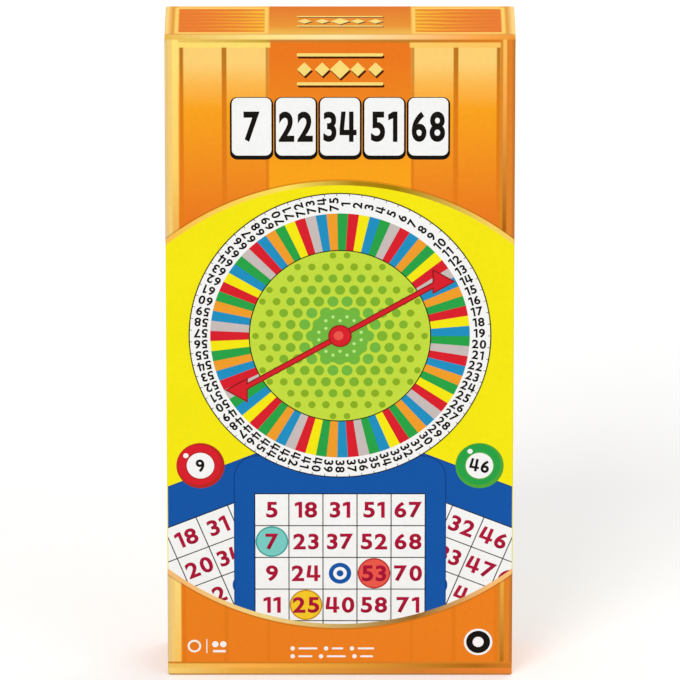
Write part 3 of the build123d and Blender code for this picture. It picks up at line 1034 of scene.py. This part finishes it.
@dataclass
class NumberWheel:
    """A face-on wheel of numbers, with coloured sectors and a dotted middle."""

    press: Press
    radius: float
    numbers: int = 75
    cuts: int = 4
    line: float = 0.3
    number_share: float = 0.135
    sector_share: float = 0.255
    dot_rows: float = 6.4
    core_share: float = 0.32
    core_gap: float = 0.6
    grid_reach: float = 1.2
    rim_gap: float = 1.2
    dot_share: float = 0.52
    dot_fall: float = 0.3
    light_dot_share: float = 0.12
    tick_share: float = 0.1
    tick_line: float = 0.6
    figure_share: float = 0.8
    figure_place: float = 0.53
    figure_width: float = 1.06
    head_share: float = 0.085
    shaft: float = 1.5
    outline: float = 0.5
    tip_gap: float = 1.0
    pattern: str = "SYRGOSNRYGOSRNG"

    def face(self) -> Shape:
        """Draws the rings of the wheel as one flat shape whose faces are coloured by their place."""
        shape = self.press.disc(Ink.BLACK, (0, 0), self.radius, 0, corners=self.numbers * self.cuts)
        inks = [Ink.BLACK, Ink.WHITE, Ink.LIME, *SECTOR_INKS.values()]
        for ink in inks[1:]:
            shape.data.materials.append(self.press.shelf.get(ink))
        widths = (self.line, self.number_share * self.radius, self.sector_share * self.radius, self.line)
        alone(shape)
        bpy.ops.object.mode_set(mode="EDIT")
        bpy.ops.mesh.select_all(action="SELECT")
        for width in widths:
            bpy.ops.mesh.inset(thickness=width)
        bpy.ops.mesh.poke()
        bpy.ops.object.mode_set(mode="OBJECT")
        edges = [self.radius]
        for width in widths:
            edges.append(edges[-1] - width)
        for face in shape.data.polygons:
            reach = face.center.to_2d().length
            share = (math.atan2(face.center.y, face.center.x) / math.tau) % 1.0
            letter = self.pattern[int(share * self.numbers) % len(self.pattern)]
            rings = (Ink.BLACK, Ink.WHITE, SECTOR_INKS[letter], Ink.BLACK, Ink.LIME)
            face.material_index = inks.index(rings[sum(reach < edge for edge in edges[1:])])
        return shape

    def dots(self, hub: float) -> Shapes:
        """Draws rows of dots in the wheel's middle, which grow towards the pivot until they meet.

        Args:
            hub: The radius of the middle.

        Returns:
            The flat shapes.
        """
        pitch = hub / self.dot_rows
        core = hub * self.core_share
        places: dict[Ink, list[Matrix]] = {ink: [] for ink in (Ink.LEAF, Ink.FERN, Ink.OLIVE, Ink.MINT)}
        reach = math.ceil(self.dot_rows * self.grid_reach)
        for row in range(-reach, reach + 1):
            for column in range(-reach - row // 2, reach + 1 - row // 2):
                spot = Vector((column + row / 2, row * math.sqrt(0.75))) * pitch
                share = spot.length / hub
                radius = pitch * (self.dot_share - self.dot_fall * share)
                if core * self.core_gap < spot.length < hub - radius * self.rim_gap:
                    ink = next(ink for limit, ink in DOT_INKS if share < limit)
                    places[ink].append(self.dot_place(spot, radius, 2))
                for rise in (1, -1):
                    gap = spot + Vector((0.5, rise * math.sqrt(1 / 12))) * pitch
                    if gap.length < core:
                        places[Ink.MINT].append(self.dot_place(gap, pitch * self.light_dot_share, 3))
        shapes = [self.press.disc(Ink.LEAF, (0, 0), core, 1)]
        for ink, own in places.items():
            shapes += self.press.repeat(self.press.disc(ink, (0, 0), 1.0, 0, 18), own)
        return shapes

    def dot_place(self, spot: Vector, radius: float, level: int) -> Matrix:
        """Returns what makes a dot of a radius, on a level, from one of 1 mm."""
        return Matrix.Translation((*spot, level * INK)) @ Matrix.Diagonal((radius, radius, 1.0, 1.0))

    def draw(self, centre: Point, level: int) -> Shapes:
        """Draws the whole wheel.

        Args:
            centre: Its middle.
            level: Its level.

        Returns:
            The flat shapes.
        """
        shapes = [self.face()]
        ring = self.number_share * self.radius
        pitch = 360 / self.numbers
        outer = self.radius - self.line
        size = math.radians(pitch) * (outer - ring / 2) * self.figure_share
        shapes += self.dots(outer - ring - self.sector_share * self.radius - self.line)
        tick = ring * self.tick_share
        mark = self.press.panel(Ink.BLACK, (outer - tick / 2, 0), (tick, self.line * self.tick_line), 1)
        shapes += self.press.spread(mark, self.numbers)
        reach = outer - ring * self.figure_place
        for index in range(self.numbers):
            angle = 90 - (index + 0.5) * pitch
            at = (reach * math.cos(math.radians(angle)), reach * math.sin(math.radians(angle)))
            shapes += self.press.number(Ink.BLACK, index + 1, at, size, 1, angle, self.figure_width)
        return self.press.move(shapes, centre, level=level)

    def pointer(self, centre: Point, turn: float, level: int) -> Shapes:
        """Draws a double-ended pointer over the wheel.

        Args:
            centre: Its pivot.
            turn: Its direction.
            level: Its level.

        Returns:
            The flat shapes.
        """
        disc = self.press.disc
        reach = self.radius * (1 - self.number_share) - self.tip_gap
        head = self.radius * self.head_share
        length = 2 * (reach - head)
        shapes = []
        for ink, grow, low in ((Ink.MAROON, self.outline, 0), (Ink.RED, 0.0, 2)):
            shapes.append(self.press.panel(ink, (0, 0), (length, self.shaft + 2 * grow), low))
            for end, way in ((1, 0), (-1, 180)):
                shapes.append(disc(ink, (end * length / 2, 0), head + 2 * grow, low + 1, 3, way))
        for ink, aside, share, low, corners in (
            (Ink.MAROON, 0.0, 0.078, 4, 48),
            (Ink.RED, 0.0, 0.07, 5, 48),
            (Ink.CORAL, 0.4, 0.032, 6, 32),
        ):
            shapes.append(disc(ink, (-aside, aside), self.radius * share, low, corners))
        return self.press.move(shapes, centre, turn, level)


@dataclass
class NumberCard:
    """The print of a number card: a white field of five by five cells with a free cell in its middle."""

    press: Press
    seed: int
    cell: float = 18.36
    line: float = 0.4
    width: float = 1.12
    rows: int = 5
    span: int = 15
    edge: float = 0.35
    edge_round: float = 0.3
    free: tuple[Ring, ...] = ((Ink.BLUE, 0.33, 3, 40), (Ink.WHITE, 0.2, 4, 40), (Ink.BLUE, 0.1, 5, 24))
    chips: dict[tuple[int, int], tuple[Ring, ...]] = field(default_factory=dict)

    def values(self) -> list[list[int]]:
        """Returns the numbers, column by column, each column from its own fifteen."""
        draw = random.Random(self.seed)
        columns = []
        for column in range(self.rows):
            first = column * self.span + 1
            columns.append(sorted(draw.sample(range(first, first + self.span), self.rows)))
        return columns

    def draw(self, board: Point | None = None, corner: float = 0.0, low: float = 0.0) -> Shapes:
        """Draws the card's print about the middle of its field of cells.

        Args:
            board: The size of the blue card under the cells, or None where a real card carries them.
            corner: The radius of that card's corners.
            low: How far the middle of that card lies above the middle of the cells.

        Returns:
            The flat shapes.
        """
        panel = self.press.panel
        side = self.cell * self.rows
        shapes = []
        if board is not None:
            outer = (board[0] + 2 * self.edge, board[1] + 2 * self.edge)
            shapes.append(panel(Ink.NAVY, (0, low), outer, 0, corner + self.edge_round))
            shapes.append(panel(Ink.BLUE, (0, low), board, 1, corner))
        shapes.append(panel(Ink.WHITE, (0, 0), (side, side), 2))
        for index in range(self.rows + 1):
            place = index * self.cell - side / 2
            shapes.append(panel(Ink.BLACK, (place, 0), (self.line, side + self.line), 3))
            shapes.append(panel(Ink.BLACK, (0, place), (side + self.line, self.line), 3))
        for column, numbers in enumerate(self.values()):
            for row, value in enumerate(numbers):
                shapes += self.fill(column, row, value)
        return shapes

    def fill(self, column: int, row: int, value: int) -> Shapes:
        """Draws what one cell holds, a number that may lie on a chip, or the rings of the free cell.

        Args:
            column: The cell's column, from the left.
            row: Its row, from the top.
            value: Its number.

        Returns:
            The flat shapes.
        """
        middle = self.rows // 2
        at = ((column - middle) * self.cell, (middle - row) * self.cell)
        rings = self.free if column == row == middle else self.chips.get((column, row), ())
        shapes = [self.press.disc(ink, at, self.cell * share, *rest) for ink, share, *rest in rings]
        if rings is not self.free:
            level = 6 if rings else 3
            shapes += self.press.number(Ink.FIGURE_RED, value, at, self.cell / 2, level, width=self.width)
        return shapes


@dataclass
class NumberBall:
    """The print of a numbered ball, with a light spot and a white roundel."""

    press: Press
    ink: Ink
    shade: Ink
    value: int

    def draw(self, centre: Point, radius: float, level: int, turn: float) -> Shapes:
        """Draws the ball.

        Args:
            centre: Its middle.
            radius: Its radius.
            level: Its level.
            turn: The turn of its number.

        Returns:
            The flat shapes.
        """
        disc = self.press.disc
        shapes = [
            disc(self.shade, (0, 0), radius, 0),
            disc(self.ink, (-radius * 0.05, radius * 0.05), radius * 0.9, 1),
            disc(Ink.WHITE, (-radius * 0.5, radius * 0.56), radius * 0.11, 2, 32),
            disc(self.shade, (0, 0), radius * 0.62, 2),
            disc(Ink.WHITE, (0, 0), radius * 0.57, 3),
        ]
        shapes += self.press.number(Ink.BLACK, self.value, (0, 0), radius * 0.56, 4)
        return self.press.move(shapes, centre, turn, level)


CHIP_RED, CHIP_TEAL, CHIP_YELLOW = (
    ((rim, 0.48, 4, 48), (face, 0.44, 5, 48))
    for rim, face in ((Ink.BRICK, Ink.CORAL), (Ink.LAGOON, Ink.TEAL), (Ink.OCHRE, Ink.AMBER))
)


@dataclass
class BoxFront:
    """The picture on the front of the lid."""

    press: Press
    rim_finish: bpy.types.Material
    shape: FieldShape = FieldShape()
    front: float = -20.0
    top: float = 270.0
    flat_half: float = 68.65
    wheel_radius: float = 60.0
    wheel_centre: Point = (0.0, 145.0)
    title_centre: float = 232.6
    tile: Point = (15.6, 24.0)
    tile_pitch: float = 17.4
    tile_corner: float = 2.4
    tile_figure: float = 12.6
    tile_width: float = 0.74
    tile_numbers: tuple[int, ...] = (7, 22, 34, 51, 68)
    shadow_grow: Point = (1.5, 2.0)
    shadow_drop: float = 0.7
    shadow_corner: float = 3.0

    def lay(self, name: str, shapes: Sequence[Shape], clip: Sequence[HalfPlane] = ()) -> Shape:
        """Prints shapes on the front of the lid."""
        return self.press.print(name, shapes, Side.FRONT, (0, self.front, 0), "lid", "printed_wrap", clip)

    def region(self, grow: float = 0.0) -> list[HalfPlane]:
        """Returns the lines that cut a shape to the field."""
        return self.shape.lines(grow, self.flat_half)

    def fields(self) -> None:
        """Prints the gold rim and the yellow field."""
        middle = (0.0, self.shape.middle())
        size = (2 * self.flat_half, self.shape.top - self.shape.bottom + 4 * self.shape.rim)
        gold = self.press.panel(Ink.GOLD, middle, size, 0)
        rim = self.lay("front_field_rim", [gold], self.region(self.shape.rim))
        rim.data.materials[0] = self.rim_finish
        self.lay("front_field", [self.press.panel(Ink.YELLOW, middle, size, 1)], self.region())

    def cards(self) -> None:
        """Prints a fan of three cards with chips on the front one."""
        chips = {(0, 1): CHIP_TEAL, (3, 2): CHIP_RED, (1, 3): CHIP_YELLOW}
        for name, seed, centre, turn, level, laid in (
            ("front_card_left", 311, (-38.5, 39.0), 22.0, 2, {}),
            ("front_card_right", 907, (38.5, 39.0), -22.0, 2, {}),
            ("front_card_middle", 523, (0.0, 44.0), 0.0, 7, chips),
        ):
            card = NumberCard(self.press, seed, cell=13.6, chips=laid)
            shapes = card.draw(board=(84.0, 92.0), corner=9.0, low=4.0)
            self.lay(name, self.press.move(shapes, centre, turn, level), self.region())

    def balls(self) -> None:
        """Prints numbered balls beside the wheel's foot."""
        shapes = NumberBall(self.press, Ink.RED, Ink.BRICK, 9).draw((-55.6, 90.0), 9.6, 6, 12)
        shapes += NumberBall(self.press, Ink.GREEN, Ink.MOSS, 46).draw((55.6, 90.0), 9.6, 6, -10)
        self.lay("front_balls", shapes, self.region())

    def wheel(self) -> None:
        """Prints the number wheel and its pointer."""
        wheel = NumberWheel(self.press, self.wheel_radius, line=0.42)
        self.lay("front_wheel", wheel.draw(self.wheel_centre, 12))
        self.lay("front_pointer", wheel.pointer(self.wheel_centre, 30.0, 16))

    def title(self) -> None:
        """Prints a row of white number tiles with black shadows."""
        shapes = []
        shadow = (self.tile[0] + self.shadow_grow[0], self.tile[1] + self.shadow_grow[1])
        first = -self.tile_pitch * (len(self.tile_numbers) - 1) / 2
        for index, value in enumerate(self.tile_numbers):
            at = (first + index * self.tile_pitch, self.title_centre)
            lower = (at[0], at[1] - self.shadow_drop)
            shapes.append(self.press.panel(Ink.BLACK, lower, shadow, 0, self.shadow_corner))
            shapes.append(self.press.panel(Ink.WHITE, at, self.tile, 1, self.tile_corner))
            shapes += self.press.number(Ink.BLACK, value, at, self.tile_figure, 2, width=self.tile_width)
        self.lay("front_number_tiles", shapes)

    def ornament(self, centre: Point) -> Shapes:
        """Draws a small gold ornament of lozenges between two rules.

        Args:
            centre: Its middle.

        Returns:
            The flat shapes.
        """
        shapes = []
        for ink, level, drop in ((Ink.UMBER, 0, -0.9), (Ink.STRAW, 1, 0.0)):
            aside = -0.5 * drop
            for rule in (6.0, -6.0):
                shapes.append(self.press.panel(ink, (aside, rule + drop), (34.0, 1.3), level, 0.6))
            for place, radius in ((-14.0, 2.9), (-7.0, 2.9), (0.0, 3.9), (7.0, 2.9), (14.0, 2.9)):
                shapes.append(self.press.disc(ink, (place + aside, drop), radius, level, 4))
        return self.press.move(shapes, centre)

    def ornaments(self) -> None:
        """Prints the ornament over the tiles and on the top."""
        self.lay("front_ornament", self.ornament((0.0, 256.4)))
        shapes = self.ornament((0.0, -1.0))
        self.press.print("top_ornament", shapes, Side.TOP, (0, 0, self.top), "lid", "printed_wrap")

    def footer(self) -> None:
        """Prints small plain marks along the foot."""
        disc, panel = self.press.disc, self.press.panel
        shapes = [
            disc(Ink.WHITE, (-58.4, 12.6), 2.7, 0, 40),
            disc(Ink.FOOT, (-58.4, 12.6), 1.9, 1, 40),
            panel(Ink.WHITE, (-53.4, 12.6), (0.4, 6.0), 0),
            disc(Ink.WHITE, (-50.0, 13.4), 1.3, 0, 32),
            disc(Ink.WHITE, (-46.8, 13.4), 1.3, 0, 32),
            panel(Ink.WHITE, (-48.4, 10.4), (5.2, 1.0), 0, 0.45),
        ]
        for row, widths in enumerate(((9.0, 6.0, 8.0), (7.0, 9.0, 6.5))):
            start, height = -19.0, 11.6 - row * 3.4
            for width in widths:
                middle = (start + width / 2 + 1.6, height)
                shapes.append(disc(Ink.WHITE, (start, height), 0.9, 0, 24))
                shapes.append(panel(Ink.WHITE, middle, (width - 1.4, 0.8), 0, 0.35))
                start += width + 4.4
        for ink, radius, level in ((Ink.WHITE, 5.7, 0), (Ink.BLACK, 4.8, 1), (Ink.WHITE, 2.2, 2)):
            shapes.append(disc(ink, (55.4, 14.4), radius, level, 56))
        self.lay("front_foot_marks", shapes)

    def build(self) -> None:
        """Prints the whole front."""
        self.fields()
        self.cards()
        self.balls()
        self.wheel()
        self.title()
        self.ornaments()
        self.footer()


@dataclass
class BoxSides:
    """Columns of numbered balls on the two narrow sides of the lid."""

    press: Press
    half_width: float = 69.0
    middle: float = -1.0
    lowest: float = 66.0
    pitch: float = 24.2
    radius: float = 10.0
    balls: tuple[tuple[Ink, Ink, float], ...] = (
        (Ink.RED, Ink.BRICK, -14),
        (Ink.BLUE, Ink.NAVY, 9),
        (Ink.GREEN, Ink.MOSS, -6),
        (Ink.CORAL, Ink.BRICK, 12),
        (Ink.SKY, Ink.BLUE, -9),
    )

    def column(self, values: Sequence[int]) -> Shapes:
        """Draws one column of balls, from the foot up.

        Args:
            values: The numbers on them.

        Returns:
            The flat shapes.
        """
        shapes = []
        for index, (value, (ink, shade, turn)) in enumerate(zip(values, self.balls)):
            ball = NumberBall(self.press, ink, shade, value)
            shapes += ball.draw((0, self.lowest + index * self.pitch), self.radius, 0, turn)
        return shapes

    def build(self) -> None:
        """Prints both sides."""
        for name, side, values, x in (
            ("right_balls", Side.RIGHT, (12, 27, 40, 58, 73), self.half_width),
            ("left_balls", Side.LEFT, (3, 19, 38, 49, 66), -self.half_width),
        ):
            self.press.print(name, self.column(values), side, (x, self.middle, 0), "lid", "printed_wrap")


@dataclass
class BoxBack:
    """The picture on the back of the base."""

    press: Press
    back: float = 20.0
    field_centre: Point = (0.0, 135.0)
    wheel_centre: Point = (0.0, 187.0)
    card_centre: Point = (0.0, 78.0)

    def lay(self, name: str, shapes: Sequence[Shape]) -> None:
        """Prints shapes on the back of the base."""
        self.press.print(name, shapes, Side.BACK, (0, self.back, 0), "base", "plain_wrap")

    def build(self) -> None:
        """Prints a yellow panel with a small wheel, one card and two balls."""
        press = self.press
        gold = press.panel(Ink.GOLD, self.field_centre, (112, 222), 0, 9.0)
        self.lay("back_field", [gold, press.panel(Ink.YELLOW, self.field_centre, (108, 218), 1, 7.5)])
        wheel = NumberWheel(press, 44.0, line=0.25)
        self.lay("back_wheel", wheel.draw(self.wheel_centre, 2))
        self.lay("back_pointer", wheel.pointer(self.wheel_centre, 114.0, 6))
        chips = {(0, 0): CHIP_RED, (4, 3): CHIP_TEAL, (2, 1): CHIP_YELLOW}
        card = NumberCard(press, 641, cell=13.6, chips=chips)
        shapes = card.draw(board=(80.0, 88.0), corner=8.0, low=3.6)
        self.lay("back_card", press.move(shapes, self.card_centre, level=2))
        shapes = NumberBall(press, Ink.CORAL, Ink.BRICK, 15).draw((-42.0, 133.0), 7.5, 2, 10)
        shapes += NumberBall(press, Ink.SKY, Ink.BLUE, 62).draw((42.0, 133.0), 7.5, 2, -10)
        self.lay("back_balls", shapes)


@dataclass
class Contents:
    """What lies in the tray."""

    press: Press
    cards: int = 16
    card_cell: float = 18.36
    card_margin: float = 9.6
    wheel_margin: float = 3.0

    def spinner(self) -> None:
        """Prints the wheel on the spinner board."""
        low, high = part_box("spinner_face_sheet")
        middle = (low + high) / 2 / MM
        wheel = NumberWheel(self.press, (high.x - low.x) / MM / 2 - self.wheel_margin)
        shapes = wheel.draw((0, 0), 0)
        origin = (middle.x, low.y / MM, middle.z)
        self.press.print("spinner_wheel_print", shapes, Side.FRONT, origin, "spinner", "spinner_print")

    def card_prints(self) -> None:
        """Prints every number card."""
        for number in range(1, self.cards + 1):
            name = f"card_{number:02d}"
            low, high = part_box(name)
            card = NumberCard(self.press, number, cell=self.card_cell)
            foot = low.z / MM + self.card_margin
            origin = ((low.x + high.x) / 2 / MM, low.y / MM, foot + self.card_cell * card.rows / 2)
            self.press.print(f"{name}_print", card.draw(), Side.FRONT, origin, "cards", "card_print")

    def build(self) -> None:
        """Prints the spinner board and the cards."""
        self.spinner()
        self.card_prints()


def dress(nodes: dict[str, Shape], shelf: InkShelf) -> None:
    """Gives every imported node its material.

    Args:
        nodes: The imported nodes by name.
        shelf: The printed colours.
    """
    board = Greyboard().material()
    ground = GroundPrint()
    red = MouldedPlastic("red_plastic", "D0202A", roughness=0.22).material()
    white = MouldedPlastic("white_plastic", "F0F0EC", roughness=0.3, bleed=0.1).material()
    finishes = {
        "lid_board": board,
        "base_board": board,
        "spinner_board_core": board,
        "lid_wrap": ground.lid(),
        "base_wrap": ground.base(),
        "insert_tray": MouldedPlastic("tray_plastic", "F2F1EC", roughness=0.24, bleed=0.1).material(),
        "rules_leaflet": LeafletPaper().material(),
        "spinner_face_sheet": shelf.get(Ink.YELLOW),
        "spinner_back_sheet": shelf.get(Ink.BLUE),
        "pivot_washer": white,
        "pivot_retainer": white,
        "pivot_stud": red,
        "spinner_arrow": red,
    }
    for name, colour in (("red", "F2493E"), ("yellow", "FFD92E"), ("teal", "5ED2C8")):
        plastic = MouldedPlastic(f"chip_{name}", colour, roughness=0.16, clear=0.14)
        finishes[f"chips_{name}"] = plastic.material()
    front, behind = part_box("card_01")[0].y / MM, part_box("card_02")[0].y / MM
    stock = CardStock(front, behind - front).material()
    for name, node in nodes.items():
        finish = finishes.get(name, stock)
        node.data.materials.clear()
        node.data.materials.append(finish)
        LOG.info("%s wears %s", name, finish.name)


@dataclass(frozen=True)
class Studio:
    """The floor, the lights and the camera."""

    elevation: float = 20.0
    distance_m: float = 4.0
    fill_share: float = 0.986
    sensor: float = 36.0
    floor_size_m: float = 24.0
    sky: float = 0.56
    floor_shade: float = 0.8
    floor_glow: float = 0.24
    suns: tuple[tuple[str, float, float, tuple[float, float, float]], ...] = (
        ("key", 1.12, 28.0, (-0.5, -1.0, 0.95)),
        ("fill", 0.45, 50.0, (1.0, -0.8, 0.6)),
        ("back", 0.8, 50.0, (0.6, 1.0, 0.8)),
    )

    def seen(self, nodes: Nodes, *kinds: str) -> Socket:
        """Finds the rays of the camera, of reflections and of some other kinds.

        Args:
            nodes: The tree.
            kinds: The names of the other kinds.

        Returns:
            A socket that is 1 for them.
        """
        rays = nodes.add("LightPath").outputs
        mask = rays["Is Camera Ray"]
        for kind in ("Glossy", *kinds):
            mask = nodes.maths("MAXIMUM", mask, rays[f"Is {kind} Ray"])
        return mask

    def floor(self) -> None:
        """Makes a plain pale floor that shows white and keeps the shadow."""
        alone()
        bpy.ops.mesh.primitive_plane_add(size=self.floor_size_m)
        floor = bpy.context.active_object
        floor.name = "floor"
        nodes = Nodes("floor_paper")
        strength = nodes.product(self.seen(nodes, "Transmission"), self.floor_glow)
        matte = nodes.add("BsdfDiffuse", {"Color": (*(self.floor_shade,) * 3, 1.0)})
        glow = nodes.add("Emission", {"Color": WHITE_LIGHT, "Strength": strength})
        both = nodes.add("AddShader", {0: matte.outputs[0], 1: glow.outputs[0]})
        nodes.add("OutputMaterial", {0: both.outputs[0]})
        floor.data.materials.append(nodes.owner)
        floor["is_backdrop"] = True

    def world(self) -> None:
        """Lights the scene evenly, and shows white where nothing stands."""
        nodes = Nodes("studio", world=True)
        level = nodes.add("MapRange", {"Value": self.seen(nodes), "To Min": self.sky, "To Max": 1.0})
        back = nodes.add("Background", {"Color": WHITE_LIGHT, "Strength": level.outputs["Result"]})
        nodes.add("OutputWorld", {0: back.outputs[0]})
        bpy.context.scene.world = nodes.owner

    def lamps(self) -> None:
        """Adds wide, soft lamps far off, so that the floor is lit evenly."""
        for name, strength, spread, towards in self.suns:
            data = bpy.data.lights.new(name, "SUN")
            data.energy = strength
            data.angle = math.radians(spread)
            lamp = bpy.data.objects.new(name, data)
            bpy.context.scene.collection.objects.link(lamp)
            lamp.location = towards
            lamp.rotation_mode = "QUATERNION"
            lamp.rotation_quaternion = Vector(towards).to_track_quat("Z", "Y")

    def camera(self, low: Vector, high: Vector) -> None:
        """Sets the camera so that the box fills the photograph's frame as it does there.

        Args:
            low: The lowest corner of the object.
            high: Its highest corner.
        """
        tilt = math.radians(self.elevation)
        middle = (low + high) / 2
        back = Vector((0, -math.cos(tilt), math.sin(tilt)))
        up = Vector((0, math.sin(tilt), math.cos(tilt)))
        data = bpy.data.cameras.new("camera")
        camera = bpy.data.objects.new("camera", data)
        bpy.context.scene.collection.objects.link(camera)
        corners = [Vector((0, y, z)) for y in (low.y, high.y) for z in (low.z, high.z)]
        eye = middle + back * self.distance_m
        slopes = [(c - eye).dot(up) / -(c - eye).dot(back) for c in corners]
        centre = (max(slopes) + min(slopes)) / 2
        camera.location = eye + up * centre * self.distance_m
        camera.rotation_mode = "QUATERNION"
        camera.rotation_quaternion = (-back).to_track_quat("-Z", "Y")
        data.sensor_width = self.sensor
        data.lens = self.sensor / ((max(slopes) - min(slopes)) / self.fill_share)
        data.clip_start = 0.05
        data.clip_end = 60.0
        bpy.context.scene.camera = camera

    def build(self, low: Vector, high: Vector) -> None:
        """Sets up the studio round the object."""
        self.floor()
        self.world()
        self.lamps()
        self.camera(low, high)
        bpy.context.scene.view_settings.view_transform = "Standard"


def main() -> None:
    """Builds the scene in order."""
    logging.basicConfig(level=logging.INFO, format="%(name)s: %(message)s")
    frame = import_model()
    low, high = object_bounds()
    shelf = InkShelf()
    press = Press(shelf)
    dress(frame["nodes"], shelf)
    Studio().build(low, high)
    BoxFront(press, GroundPrint().rim()).build()
    BoxSides(press).build()
    BoxBack(press).build()
    Contents(press).build()


if __name__ == "__main__":
    main()
